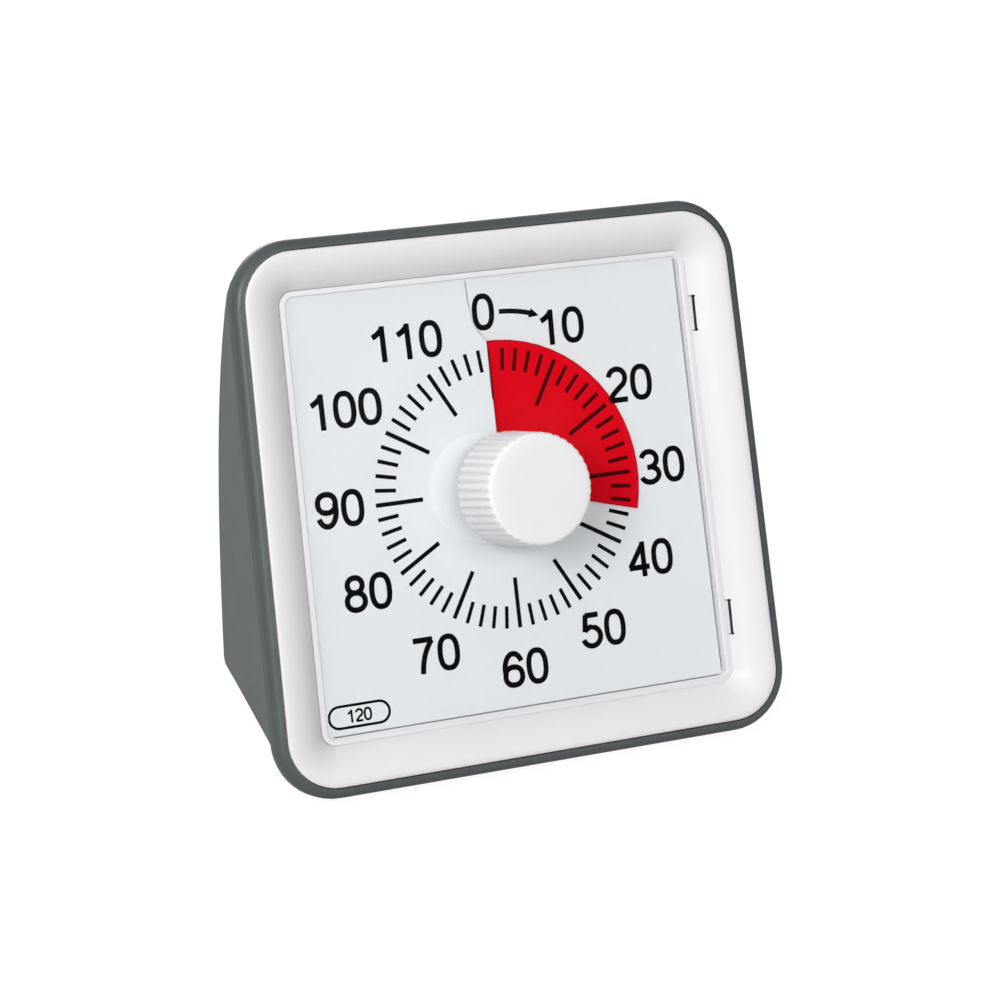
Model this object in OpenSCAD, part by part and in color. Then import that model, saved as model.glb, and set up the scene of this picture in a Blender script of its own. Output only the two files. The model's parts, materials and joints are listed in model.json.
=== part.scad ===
// Visual countdown timer: a leaning square face with a setting knob, and a red
// film that winds out through a slit in the dial card to show the time left.

/* [Face] */
// Lean of the face back from the vertical, in degrees
lean = 15.5; // [13:0.5:18]
// Width of the outer rim
face_w = 97.8; // [95:0.5:104]
// Height of the outer rim along the face
face_h = 96.5; // [95:0.1:104]
// Lean of each side of the face towards the other, in degrees: the top is narrower
face_flare = 1; // [0:0.1:1.2]
// Corner radius of the outer rim
rim_r = 11.0; // [10:0.5:18]
// Width of the grey lip that shows round the bezel
lip = 1.9; // [1.4:0.1:2.6]
// Radius of the rounded front edge of the rim
rim_round = 1.8; // [1:0.1:2.4]
// Depth of the rim band behind the lip
rim_depth = 4.4; // [3.6:0.1:6]
// Step from the rim band in to the side panels
side_step = 0.8; // [0.4:0.1:1.6]

/* [Housing] */
// Distance from the foot of the face back to the rear wall, at the base
body_depth = 66; // [60:0.5:72]
// How far the back has come forward at the knee of its curve
knee_in = 1.5; // [0:0.5:8]
// Height of the knee over the base
knee_up = 62; // [40:1:72]
// How far the side panels close in, per millimetre of depth
side_taper = 0.19; // [0.14:0.005:0.21]
// Radius of the edges between the sides, the base and the back
edge_r = 5.2; // [3:0.5:6]
// Wall thickness of the housing
wall = 2.2; // [1.8:0.1:2.6]
// Height of the base above the table, on its feet
base_z = 1.6; // [1.2:0.1:2.4]
// Gap between the table and the lowest point of the rim
ground_gap = 0.6; // [0.3:0.1:1.2]

/* [Window and bezel] */
// Width of the bezel beside the window
border_w = 7.4; // [7:0.1:9]
// Width of the bezel above and below the window
border_h = 7; // [7:0.1:9]
// Corner radius of the window
window_r = 2.5; // [1.5:0.1:4]
// Thickness of the window pane
window_t = 0.8; // [0.8:0.1:1.4]
// Thickness of the frame round the edge of the window
window_wall = 1; // [1:0.1:1.8]
// Height of the window frame over the pane
window_frame = 0.3; // [0.3:0.1:1]
// Length of each window tab
tab_l = 6.1; // [4:0.1:9]
// Reach of each window tab past the edge of the window
tab_reach = 0.6; // [0.5:0.1:1.4]
// Distance of the window tabs from the middle of the face
tab_v = 27.8; // [18:0.1:30]

/* [Dial card and film] */
// Depth of the dial card's mid-plane behind the face of the rim
card_sink = 5.4; // [4.9:0.1:5.6]
// Height of the dial centre above the middle of the face
dial_up = 0.8; // [0:0.1:1]
// Thickness of the dial card
card_t = 0.3; // [0.2:0.05:0.4]
// Radius of the hole in the card
card_hole_r = 7.4; // [7:0.1:8.5]
// Lift of the card's edges at the slit, one up and one down
card_lift = 0.54; // [0.5:0.01:0.6]
// Radius of the time film
film_r = 26.3; // [24:0.1:28]
// Thickness of the time film
film_t = 0.12; // [0.1:0.01:0.2]
// Rise of the film in one turn
film_pitch = 1.15; // [1.1:0.01:1.3]
// Least gap between the film's turns and the parts round it
film_gap = 0.35; // [0.25:0.01:0.5]
// Minutes that one turn of the dial stands for
dial_minutes = 120; // [60:60:120]
// Minutes that are set in the rest position
set_minutes = 35; // [5:1:55]

/* [Knob] */
// Diameter of the setting knob over its ribs
knob_d = 20.3; // [18:0.1:22]
// Height of the knob's front above the dial card
knob_front = 15.5; // [14.5:0.5:22]
// Number of ribs round the knob
knob_ribs = 40; // [30:1:48]
// Depth of the grooves between the ribs
rib_depth = 0.5; // [0.3:0.05:0.8]
// Gap between the knob and the window
knob_gap = 0.7; // [0.5:0.1:1.2]
// Diameter of the output shaft
shaft_d = 4; // [3.6:0.1:4.6]

/* [Movement] */
// Gear module
gear_m = 0.5; // [0.48:0.01:0.5]
// Teeth of the output wheel
output_teeth = 60; // [56:2:60]
// Teeth of the wheel on the third arbor
third_teeth = 48; // [44:2:48]
// Teeth of both pinions
pinion_teeth = 15; // [14:1:16]
// Thickness of the wheels
wheel_t = 1.6; // [1.2:0.1:1.8]
// Thickness of the movement case walls
case_wall = 1.6; // [1.2:0.1:2]
// Depth of the movement case
case_depth = 14.6; // [14:0.1:16]
// Thickness of the dial plate
plate_t = 2; // [1.6:0.1:2.4]

/* [Battery and back] */
// Diameter of the battery cell
cell_d = 14.3; // [13.5:0.1:14.5]
// Length of the battery cell over its terminals
cell_l = 50.5; // [49:0.1:50.5]
// Width of the battery door
door_w = 60; // [58:0.5:62]
// Height of the battery door
door_h = 21; // [19:0.5:22]
// Height of the door's middle above the table
door_z = 19; // [17:0.5:21]
// Height of the circuit board's middle above the table
board_z = 45.5; // [44:0.5:48]
// Travel of the alarm slider
slider_travel = 4; // [3:0.5:5]
// Diameter of the rubber feet
foot_d = 8; // [6:0.5:9]

/* [Hidden] */
$fn = 48;
fit = 0.1;          // gap between fixed pieces that slide together
run = 0.05;         // radial gap between a shaft and its bearing
press = 0.02;       // radial gap of what is pressed on
eps = 0.02;         // overlap that joins two shapes of one piece
far = 60;           // long enough to pass the outside of the body
rounding = 12;      // steps in each corner of the face's outlines

// ---- places along the face's outward normal, from the face of the rim ----
card_w0 = -card_sink;
film_span = 372;
deg_per_min = 360 / dial_minutes;
film_lead = set_minutes * deg_per_min;
window_in = card_w0 + film_pitch + film_t / 2 + film_gap;
window_out = window_in + window_t;
frame_top = window_out + window_frame;
plate_front = card_w0 - film_pitch * film_span / 360 - film_t / 2 - film_gap;
plate_back = plate_front - plate_t;
knob_back = window_out + knob_gap;
knob_tip = card_w0 + card_t / 2 + knob_front;
case_split = plate_back - case_depth * 0.4;
case_back = plate_back - case_depth;

// ---- the body's outline, measured from the middle of the face ----
flare = tan(face_flare) / (face_w / 2);
band_in = rim_depth - 0.6;                       // where the body starts behind the rim
half_w = face_w / 2 - side_step;
half_h = face_h / 2 - side_step;
body_r = rim_r - side_step;
face_z = ground_gap + face_h / 2 * cos(lean) + rim_depth * sin(lean);
base_dz = base_z - face_z;
top_dz = half_h * cos(lean) - band_in * sin(lean);
foot_dy = -face_h / 2 * sin(lean);
function front_dy(dz) = dz * tan(lean) + band_in / cos(lean);

// The back is a curve in the side view, from the base up to the top of the rim.
back_p0 = [foot_dy + body_depth, base_dz];
back_p1 = [foot_dy + body_depth - knee_in, base_dz + knee_up];
back_p2 = [front_dy(top_dz) + 1.2, top_dz];
function back_t(dz) =
    let (a = back_p2.y - 2 * back_p1.y + back_p0.y, b = 2 * (back_p1.y - back_p0.y), c = dz - back_p0.y)
    2 * c / (b + sqrt(b * b + 4 * a * c));
function back_at(t) = (1 - t) * (1 - t) * back_p0 + 2 * t * (1 - t) * back_p1 + t * t * back_p2;
function back_slope(t) = 2 * (1 - t) * (back_p1 - back_p0) + 2 * t * (back_p2 - back_p1);
function back_dy(dz) = back_at(back_t(dz)).x;
function back_tilt(dz) = let (s = back_slope(back_t(dz))) atan2(-s.x, s.y);

// How far a rounded edge of radius r stands in, at distance h from its face.
function round_in(r, h) = h >= r ? 0 : r - sqrt(max(0, r * r - (r - h) * (r - h)));

// ---- where the whole thing stands: the middle of its box is over the origin ----
tip_bevel = 0.6;
front_most = min(
    (dial_up - knob_d / 2) * sin(lean) - (knob_tip - tip_bevel) * cos(lean),
    (dial_up - knob_d / 2 + tip_bevel) * sin(lean) - knob_tip * cos(lean));
back_most = max([for (h = [0:0.25:12]) back_dy(base_dz + h) - round_in(edge_r, h)]);
face_y = -(front_most + back_most) / 2;

module on_face()
    translate([0, face_y, face_z]) rotate([90 - lean, 0, 0]) children();

module on_axis()
    on_face() translate([0, dial_up, 0]) children();

// On the outer surface of the back at height z, with z outwards and y up.
module on_back(z)
    translate([0, face_y + back_dy(z - face_z), z])
        rotate([90 - back_tilt(z - face_z), 0, 180]) children();

// ---- shared shapes ----
// Rounded rectangle, with as many steps in each corner. Those that belong to the
// face take its flare, which makes them narrower towards the top.
function flared(x, v) = x * (1 - flare * v);
function round_rect(w, h, r, n, g = flare) =
    [for (c = [0:3], i = [0:n])
        let (sx = (c == 0 || c == 3) ? 1 : -1, sy = c < 2 ? 1 : -1, a = 90 * c + 90 * i / n,
             x = sx * (w / 2 - r) + r * cos(a), y = sy * (h / 2 - r) + r * sin(a))
        [x * (1 - g * y), y]];

function lift(points, z) = [for (p = points) [p.x, p.y, z]];

function mix(a, b, s) = [for (i = [0:len(a) - 1]) a[i] * (1 - s) + b[i] * s];

// Skin over closed rings of equal length. A loop joins the last ring to the first;
// strip caps suit thin sections, whose second half runs back along the first.
module skin(rings, loop = false, strip = false) {
    n = len(rings[0]);
    m = len(rings);
    last = loop ? m - 1 : m - 2;
    sides = [for (i = [0:last], j = [0:n - 1])
        let (a = i * n, b = ((i + 1) % m) * n, k = (j + 1) % n)
        each [[a + j, b + j, b + k], [a + j, b + k, a + k]]];
    strips = [for (j = [0:n / 2 - 2], e = [0, 1])
        let (o = e * (m - 1) * n, q = [o + j, o + j + 1, o + n - 2 - j, o + n - 1 - j])
        e == 0 ? q : [q[3], q[2], q[1], q[0]]];
    flats = [[for (j = [0:n - 1]) j], [for (j = [n - 1:-1:0]) (m - 1) * n + j]];
    caps = loop ? [] : strip ? strips : flats;
    polyhedron(points = [for (r = rings) each r], faces = concat(sides, caps), convexity = 10);
}

module slab(w, h, r, t, g = flare) linear_extrude(t) polygon(round_rect(w, h, r, rounding, g));

// Upright cylinder at a point, between two heights.
module peg(p, from, to, r) translate([p.x, p.y, from]) cylinder(r = r, h = to - from);

// Block over a middle point, between two heights.
module block(p, size, from, to)
    translate([p.x - size.x / 2, p.y - size.y / 2, from]) cube([size.x, size.y, to - from]);

// ---- housing ----
// Slice of the body at height dz, drawn in by the wall thickness: a flat front and
// a back with two rounded corners.
function body_slice(dz, inset, front) =
    let (h = dz - base_dz - inset,
         v = (dz + band_in * sin(lean)) / cos(lean),
         over = max(0, abs(v) - (half_h - body_r)),
         r_in = max(0.5, body_r - inset),
         arc = v < 0 ? 0 : body_r - sqrt(max(0, body_r * body_r - over * over)),
         low = round_in(r_in, h),
         y0 = front_dy(dz) - front,
         y1 = max(y0 + 0.4, back_dy(dz) - inset - round_in(edge_r, h)),
         depth = (y1 - front_dy(dz)) * cos(lean),
         side = flared(half_w, v) - inset,
         x0 = side - max(arc, low) + side_taper * front * cos(lean),
         x1 = side - max(arc, round_in(edge_r, h)) - side_taper * depth,
         r = max(0.1, min(edge_r - inset / 2, (y1 - y0) * 0.6, x1 - 0.5)))
    concat([[-x0, y0, dz], [x0, y0, dz]],
           [for (a = [0:15:90]) [x1 - r + r * cos(a), y1 - r + r * sin(a), dz]],
           [for (a = [90:15:180]) [-x1 + r + r * cos(a), y1 - r + r * sin(a), dz]]);

function slice_heights(lo, hi, r) = concat(
    [for (a = [90:-15:15]) lo + edge_r * (1 - sin(a))],
    [lo + edge_r, lo + r * 0.62, lo + r],
    [for (i = [1:11]) lo + r + (hi - 2 * r - lo) * i / 11.5],
    [for (a = [0:15:75]) hi - r * cos(lean) * (1 - sin(a))],
    [hi]);

module body(inset = 0, front = 0)
    translate([0, face_y, face_z])
        skin([for (z = slice_heights(base_dz + inset, top_dz - inset, body_r))
            body_slice(z, inset, front)]);

module rim() {
    outer = concat([[0.9, -rim_depth], [0.15, -rim_depth + 0.35], [0, -rim_depth + 0.9]],
                   [for (a = [0:15:90]) rim_round * [1 - cos(a), sin(a) - 1]]);
    on_face() skin([for (p = outer)
        lift(round_rect(face_w - 2 * p.x, face_h - 2 * p.x, rim_r - p.x, rounding), p.y)]);
}

bezel_w = face_w - 2 * lip;
bezel_h = face_h - 2 * lip;
bezel_r = rim_r - lip;
bezel_back = -rim_depth - 0.1;
window_w = bezel_w - 2 * border_w;
window_h = bezel_h - 2 * border_h;
tab_t = 1.1;
tab_gap = 0.15;
tab_slit = 0.3;                                  // slot in the bezel past each tab
tab_slit_end = 0.25;                             // radius of the slot's round ends

// card, and the pad on the dial plate that carries its edge
card_inset = 0.3;
card_w = window_w - 2 * (window_wall + card_inset);
card_h = window_h - 2 * (window_wall + card_inset);
pad_top = card_w0 - card_t / 2 - 0.15;
pad_w = 1.5;
pad_open_w = 24;                                 // stretch of the pad left out behind the slit
pad_open_x = -2;

// dial plate, its screws, and the hooks at its lower edge
plate_r = body_r + 4;
plate_gap = 0.4;
plate_w = 2 * (half_w - wall + side_taper * (plate_back + band_in) - plate_gap);
plate_h = -2 * ((base_dz + wall - plate_back * sin(lean)) / cos(lean) + plate_gap);
boss_at = border_w * 0.33;
bezel_boss_r = 2;
bezel_bosses = [for (s = [-1, 1], t = [-1, 1]) [s * (window_w / 2 + boss_at), t * window_h * 0.28]];
screw_v = 31;
screw_u = 30;
post_r = 3.6;
post_l = 4.4;
hook_u = 24;
hook_w = 8;
hook_t = 1.6;
hook_gap = 0.6;
hook_reach = 2;
catch_v = -plate_h / 2 + 4;

// window boss, film hub and the film's collar
boss_r = 4.4;
boss_gap = 0.6;
hub_r = 4;
hub_gap = 0.15;
hub_front = window_in - hub_gap;
hub_back = plate_front + hub_gap;
key_w = 1.2;
key_reach = 1;
key_turn = 40;
key_gap = 0.08;
collar_in = hub_r + 0.12;
collar_r = 6.4;
collar_t = 0.5;
shaft_tip = knob_tip - 5;

// movement, from its front wall back
wheel_top = plate_back - case_wall;
flange_front = wheel_top - 0.3;
flange_t = 0.8;
flange_r = 5;
wheel_front = flange_front - flange_t;
wheel_back = wheel_front - wheel_t;
spring_h = 0.8;
spring_r = 4.8;
clip_t = 0.5;
clip_r = 3.6;
nib_h = 0.9;
nib_r = 0.8;
nib_at = 12;
nib_zero = 0;
third_top = wheel_back - nib_h - 0.4;
third_back = third_top - wheel_t;
motor_top = third_back - 1;
pivot_r = 1.2;
pivot_gap = 0.5;
pivot_hole = case_back + pivot_gap - 0.1;
case_floor = case_back + case_wall;
shoulder = case_floor + 0.3;
bush_r = 4;
leaf_t = 0.2;
leaf_gap = 0.35;

// battery bay
bay_l = cell_l + 6;
bay_w = cell_d + 1.5;
bay_wall = 1.4;
door_t = 2;
door_gap = 0.3;
cell_gap = 1.8;
cell_drop = door_t + cell_gap + cell_d / 2;
bay_depth = cell_drop + bay_w / 2;
contact_t = 0.5;
contact_w = 10;
contact_h = 11;
notch_w = 12;
notch_h = 3.2;
tongue_t = 1.1;

// circuit board, sounder and alarm switch
board_x = 46;
board_y = 15;
board_t = 1.2;
board_drop = wall + 5.4;
board_post_r = 2.4;
board_parts = [[[6.5, -2.5], [9, 7], 1.4], [[-11, 5.5], [6, 5], 2], [[15, 5.2], [4, 2.4], 1]];
sounder_x = 8;
sounder_r = 8;
sounder_gap = 0.8;
sounder_hole_r = 1.5;
switch_x = -12;
switch_h = 3.2;
switch_w = 5;
slot_w = slider_travel + 5;
slot_h = 3.4;
recess = [2, 1.6, 0.8];
grille_pitch = 2.8;
grille_slot = 1.2;

// feet
foot_sink = 0.6;
foot_x = 27;
foot_inset = 10;
feet = [for (s = [-1, 1], y = [foot_inset + 1, body_depth - foot_inset]) [s * foot_x, foot_dy + y]];

module on_cell() on_back(door_z) translate([0, 0, -cell_drop]) children();

module door_block(grow, from, to)
    on_back(door_z) block([0, 0], [door_w + 2 * grow, door_h + 2 * grow], from, to);

module on_hooks() on_back(door_z) for (s = [-1, 1]) translate([s * door_w * 0.3, -door_h / 2, 0]) children();

module on_board_posts()
    on_back(board_z) for (s = [-1, 1]) translate([s * (board_x / 2 - 3), 0, -board_drop]) children();

module on_case_screws()
    on_face() for (s = [-1, 1]) translate([s * screw_u, screw_v, plate_back - post_l]) children();

module grille() on_back(board_z) translate([sounder_x, 0, 0])
    for (i = [-2:2]) {
        y = i * grille_pitch;
        block([0, y], [2 * sqrt(sounder_r * sounder_r - y * y), grille_slot], -wall - 2, wall);
    }

module housing_inside() {
    // battery bay, with a frame that the door closes on
    on_cell() block([0, 0], [bay_l + 2 * bay_wall, bay_w + 2 * bay_wall], -bay_w / 2 - bay_wall, cell_drop);
    on_back(door_z) block([0, notch_h / 2], [door_w + 4, door_h + 4 + notch_h],
                          -door_t - door_gap - bay_wall, -door_gap - bay_wall);
    on_case_screws() peg([0, 0], -far, -fit, post_r);
    on_board_posts() peg([0, 0], fit, board_drop, board_post_r);
    // catches for the dial plate's hooks
    on_face() for (s = [-1, 1])
        block([s * hook_u, (catch_v - half_h) / 2], [hook_w, half_h + catch_v],
              plate_back - hook_gap - hook_t, plate_back - hook_gap);
}

module rear_housing() color([0.42, 0.45, 0.46]) difference() {
    union() {
        difference() {
            union() {
                body();
                rim();
            }
            body(wall, 6);
            on_face() translate([0, 0, bezel_back])
                slab(bezel_w + 2 * fit, bezel_h + 2 * fit, bezel_r + fit, far);
        }
        intersection() {
            body(wall / 2);
            housing_inside();
        }
    }
    on_cell() block([0, 0], [bay_l, bay_w], -bay_w / 2, bay_depth);
    door_block(door_gap, -door_t - door_gap, wall * 2);
    // notches for the door's tongue and hooks
    on_back(door_z) block([0, door_h / 2 + notch_h / 2], [notch_w + 2 * door_gap, notch_h + 2 * door_gap],
                          -door_t - 1, wall * 2);
    on_hooks() block([0, 0.2], [hook_w, 5], -6, -wall + 0.4);
    // case screw holes with deep counterbores
    on_case_screws() {
        peg([0, 0], -3, 1, 1.6);
        peg([0, 0], -far, -2, 2.9);
    }
    on_board_posts() peg([0, 0], -1, 4, 0.9);
    grille();
    // slot and shallow recess for the alarm slider
    on_back(board_z) {
        block([switch_x, 0], [slot_w, slot_h], -wall - 2, wall);
        block([switch_x, 0], [slot_w + 2 * recess.x, slot_h + 2 * recess.y], -recess.z, wall);
    }
    for (f = feet) translate([0, face_y, 0]) peg(f, base_z - 1, base_z + foot_sink, foot_d / 2 + fit);
}

// ---- bezel, window and dial card ----
// Section of the bezel: how far from the outer edge to the window, and the height.
// It stays level near the rim and falls ever more steeply towards the window.
frame_proud = 0.6;                               // height of the window frame over the bezel's edge
bezel_inner = frame_top - frame_proud;
bezel_crown = 0.25;
bezel_power = 2.6;
bezel_skirt = 2.2;                               // depth of the groove behind the bezel
bezel_section = concat(
    [[0, bezel_back], [0, -0.35], [0.02, 0]],
    [for (x = [0.06, 0.14, 0.3, 0.46, 0.6, 0.72, 0.82, 0.9, 0.96, 1])
        [x, bezel_crown - (bezel_crown - bezel_inner) * pow(x, bezel_power) - (x < 0.1 ? 0.06 : 0)]],
    [[1, plate_front], [0.8, plate_front], [0.8, bezel_inner - bezel_skirt], [0.24, -bezel_skirt],
     [0.24, bezel_back]]);

module on_tabs() on_face() for (s = [-1, 1])
    translate([flared(window_w / 2, s * tab_v), s * tab_v, 0]) children();

module front_bezel() color([0.93, 0.93, 0.91]) difference() {
    outer = round_rect(bezel_w, bezel_h, bezel_r, rounding);
    inner = round_rect(window_w + 2 * fit, window_h + 2 * fit, window_r + fit, rounding);
    on_face() union() {
        skin([for (p = bezel_section) lift(mix(outer, inner, p.x), p.y)], loop = true);
        for (p = bezel_bosses) peg(p, plate_front, bezel_inner - 0.2, bezel_boss_r);
    }
    on_face() for (p = bezel_bosses) peg(p, plate_front - 1, plate_front + 3.6, 0.85);
    on_tabs() {
        block([0, 0], [2 * (tab_reach + tab_gap), tab_l + 2 * tab_gap], frame_top - tab_t - 0.2, far);
        block([tab_reach + tab_slit / 2, 0], [tab_slit, tab_l], plate_front - 1, far);
        for (s = [-1, 1]) peg([tab_reach + tab_slit / 2, s * tab_l / 2], plate_front - 1, far, tab_slit_end);
    }
}

module window_slab(from, to) translate([0, 0, from])
    slab(window_w - 2 * window_wall, window_h - 2 * window_wall, max(0.4, window_r - window_wall), to - from);

module clear_window() color([0.85, 0.92, 0.95, 0.35]) {
    on_face() difference() {
        translate([0, 0, plate_front]) slab(window_w, window_h, window_r, frame_top - plate_front);
        window_slab(window_out, far);
        window_slab(plate_front - 1, window_in);
        peg([0, dial_up], window_in - 1, window_out + 1, boss_r + boss_gap);
    }
    on_tabs() block([tab_reach / 2 - 0.15, 0], [tab_reach + 0.3, tab_l], frame_top - tab_t, frame_top);
}

// The seam runs straight out, a little left of the axis, and past the film bends to the left.
seam_out = film_r + 0.4;
seam_left = 0.6;
seam_bend = 2.7;
function seam_shift(v) = seam_left + (v < seam_out ? 0 : seam_bend * (1 - 0.85 * exp(-(v - seam_out) / 2.2)));

// The card, whose edges at the slit stand in front of and behind its mid-plane. The lift
// fades away outside the film.
module dial_card() color([0.9, 0.92, 0.94]) {
    hw = card_w / 2;
    up = card_h / 2 - dial_up;
    down = card_h / 2 + dial_up;
    slit = 0.35;
    flat_r = film_r + 1.3;
    fade_l = 8;
    seam_fade = 40;
    c1 = atan2(flared(hw, card_h / 2), up);
    c2 = 180 - atan2(flared(hw, -card_h / 2), down);
    marks = [slit, c1, 90, c2, 180, 360 - c2, 270, 360 - c1, 360 - slit];
    steps = 6;
    angles = concat([for (k = [0:7], i = [0:steps - 1]) marks[k] + (marks[k + 1] - marks[k]) * i / steps],
                    [marks[8]]);
    radii = [card_hole_r, film_r / 2, film_r, flat_r, flat_r + 1, flat_r + 2, flat_r + 3.5, flat_r + 6];
    on_axis() skin(strip = true, rings = [for (a = angles)
        let (side = flared(hw, dial_up) / (abs(sin(a)) + hw * flare * cos(a)),
             edge = min(side < 0 ? 1e6 : side, (cos(a) > 0 ? up : down) / max(1e-6, abs(cos(a)))),
             near = max(0, 1 - (a < 180 ? a : 360 - a) / seam_fade),
             swing = card_lift * (a - 180) / 180,
             top = [for (r = concat(radii, [edge]))
                 let (v = r * cos(a),
                      fade = r <= flat_r ? 1 : max(0.25 * near, 1 - (r - flat_r) / fade_l))
                 [r * sin(a) - seam_shift(v) * near, v, card_w0 + swing * fade + card_t / 2]])
        concat(top, [for (i = [len(top) - 1:-1:0]) top[i] - [0, 0, card_t]])]);
}

module dial_plate() color([0.8, 0.8, 0.79]) on_face() difference() {
    union() {
        translate([0, 0, plate_back]) slab(plate_w, plate_h, plate_r, plate_t);
        // pad under the edge of the card
        difference() {
            translate([0, 0, plate_front - fit])
                slab(card_w - 4 * fit, card_h - 4 * fit, 1, pad_top - plate_front + fit);
            translate([0, 0, plate_front - 1]) slab(card_w - 2 * pad_w, card_h - 2 * pad_w, 1, far);
            block([pad_open_x, card_h / 2], [pad_open_w, card_h], plate_front, far);
        }
        for (s = [-1, 1]) {
            peg([s * screw_u, screw_v], plate_back - post_l, plate_back + 0.1, post_r - 0.4);
            // hook
            block([s * hook_u, catch_v + fit + hook_t / 2], [hook_w, hook_t],
                  plate_back - hook_gap - 2 * hook_t, plate_back + 0.1);
            block([s * hook_u, catch_v + (hook_t - hook_reach) / 2], [hook_w, hook_t + hook_reach],
                  plate_back - hook_gap - 2 * hook_t - fit, plate_back - hook_gap - hook_t - fit);
        }
    }
    for (s = [-1, 1]) peg([s * screw_u, screw_v], plate_back - far, far, 1.35);
    peg([0, dial_up], plate_back - 1, far, bush_r + press);
    for (p = bezel_bosses) peg(p, plate_back - 1, far, 1.1);
    for (p = case_screw_at) peg(p + [0, dial_up], plate_back - 1, far, 1.12);
}

// ---- film, hub, knob and shaft ----
// The film is one turn of a screw surface; its hub has keys that carry it round.
module time_film() color([0.82, 0.03, 0.1, 0.85]) on_axis() difference() {
    step = 6;
    top = [[collar_in, collar_t / 2], [collar_r, collar_t / 2],
           [collar_r + 0.1, film_t / 2], [film_r, film_t / 2]];
    section = concat(top, [for (i = [3:-1:0]) [top[i].x, -top[i].y]]);
    skin(strip = true, rings = [for (a = [film_lead - film_span:step:film_lead])
        [for (p = section) [p.x * sin(a), p.x * cos(a), card_w0 + film_pitch * a / 360 + p.y]]]);
    hub_keys(key_gap, 1);
}

module hub_keys(side, end) rotate(-key_turn)
    block([0, 0], [2 * (hub_r + key_reach + side), key_w + 2 * side], hub_back - end, hub_front + end);

module film_hub() color([0.88, 0.88, 0.86]) on_axis() difference() {
    union() {
        peg([0, 0], hub_back, hub_front, hub_r);
        hub_keys(0, -0.1);
    }
    peg([0, 0], hub_back - 1, hub_front + 1, shaft_d / 2 + press);
}

module setting_knob() color([0.95, 0.95, 0.94]) on_axis() difference() {
    r = knob_d / 2;
    rim_t = 1.2;
    skirt_t = 2.4;
    web_t = 1;
    pitch = 360 / knob_ribs;
    outline = [for (i = [0:knob_ribs - 1], p = [[-0.27, 0], [-0.13, 1], [0.13, 1], [0.27, 0]])
        let (a = (i + p.x) * pitch, q = r - 0.05 - rib_depth * (1 - p.y))
        [q * cos(a), q * sin(a)]];
    union() {
        translate([0, 0, knob_back]) linear_extrude(knob_tip - rim_t - knob_back + eps) polygon(outline);
        rotate_extrude() polygon([
            [0, knob_tip - rim_t], [r, knob_tip - rim_t], [r, knob_tip - tip_bevel],
            [r - tip_bevel, knob_tip], [0, knob_tip]]);
        // boss that reaches through the window to the film hub
        peg([0, 0], hub_front, knob_tip - rim_t, boss_r);
    }
    // hollow between the skirt and the boss, with webs
    difference() {
        peg([0, 0], knob_back - 1, knob_tip - rim_t - 0.4, r - skirt_t);
        peg([0, 0], hub_front - 1, knob_tip, boss_r);
        for (a = [0:60:120]) rotate(a) block([0, 0], [knob_d, web_t], knob_back + 2, knob_tip);
    }
    peg([0, 0], hub_front - 1, shaft_tip, shaft_d / 2 + press);
}

module output_shaft() color([0.75, 0.76, 0.78]) on_axis() {
    r = shaft_d / 2;
    point = 0.4;
    tip = shaft_tip - 0.1;
    rotate_extrude() polygon([
        [0, case_back + pivot_gap], [pivot_r, case_back + pivot_gap], [pivot_r, shoulder], [r, shoulder],
        [r, wheel_front], [flange_r, wheel_front], [flange_r, flange_front], [r, flange_front],
        [r, tip - point], [r - point, tip], [0, tip]]);
}

module shaft_bush() color([0.8, 0.66, 0.35]) on_axis() difference() {
    peg([0, 0], wheel_top, plate_front, bush_r);
    peg([0, 0], wheel_top - 1, plate_front + 1, shaft_d / 2 + run);
}

// ---- gear train ----
third_at = [-gear_m * (output_teeth + pinion_teeth) / 2, 0];
drive_dir = -60;
drive_at = third_at + gear_m * (third_teeth + pinion_teeth) / 2 * [cos(drive_dir), sin(drive_dir)];
motor_at = drive_at + [3, 2.6];
motor_r = 9.5;
snout_r = 1.9;
snout_l = 0.5;
arbor_r = 0.75;
arbor_sunk = 2;                                  // length of the drive arbor inside the motor
pressure = 20;
backlash = 0.12;
function tip_r(teeth) = gear_m * (teeth / 2 + 0.8);
function involute(x) = sqrt(x * x - 1) * 180 / PI - atan(sqrt(x * x - 1));

// Stub involute teeth, thinned by the backlash.
function gear_points(teeth) =
    let (rp = gear_m * teeth / 2,
         rb = rp * cos(pressure),
         root = rp - gear_m,
         tip = tip_r(teeth),
         low = max(rb, root),
         half = 90 / teeth - backlash / 4 / rp * 180 / PI + involute(rp / rb),
         flank = [[root, half - involute(low / rb)],
                  for (s = [0:0.5:1]) let (r = low + (tip - low) * s) [r, half - involute(r / rb)]],
         n = len(flank))
    [for (k = [0:teeth - 1], i = [0:2 * n - 1])
        let (p = flank[i < n ? i : 2 * n - 1 - i], a = k * 360 / teeth + (i < n ? -p.y : p.y))
        p.x * [cos(a), sin(a)]];

module gear(teeth, from, to) translate([0, 0, from]) linear_extrude(to - from) polygon(gear_points(teeth));

// Round windows that lighten a wheel.
module lightening(count, teeth, z, r)
    for (i = [0:count - 1]) rotate((i + 0.5) * 360 / count) peg([gear_m * teeth * 0.31, 0], z - 1, z + 3, r);

module output_wheel() color([0.9, 0.88, 0.8]) on_axis() difference() {
    union() {
        rotate(180) gear(output_teeth, wheel_back, wheel_front);
        // nib that passes the zero contact
        rotate(nib_zero - film_lead) peg([nib_at, 0], wheel_back - nib_h, wheel_back + 0.1, nib_r);
    }
    peg([0, 0], wheel_back - 1, wheel_front + 1, shaft_d / 2 + press);
    lightening(6, output_teeth, wheel_back, 2.4);
}

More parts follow.
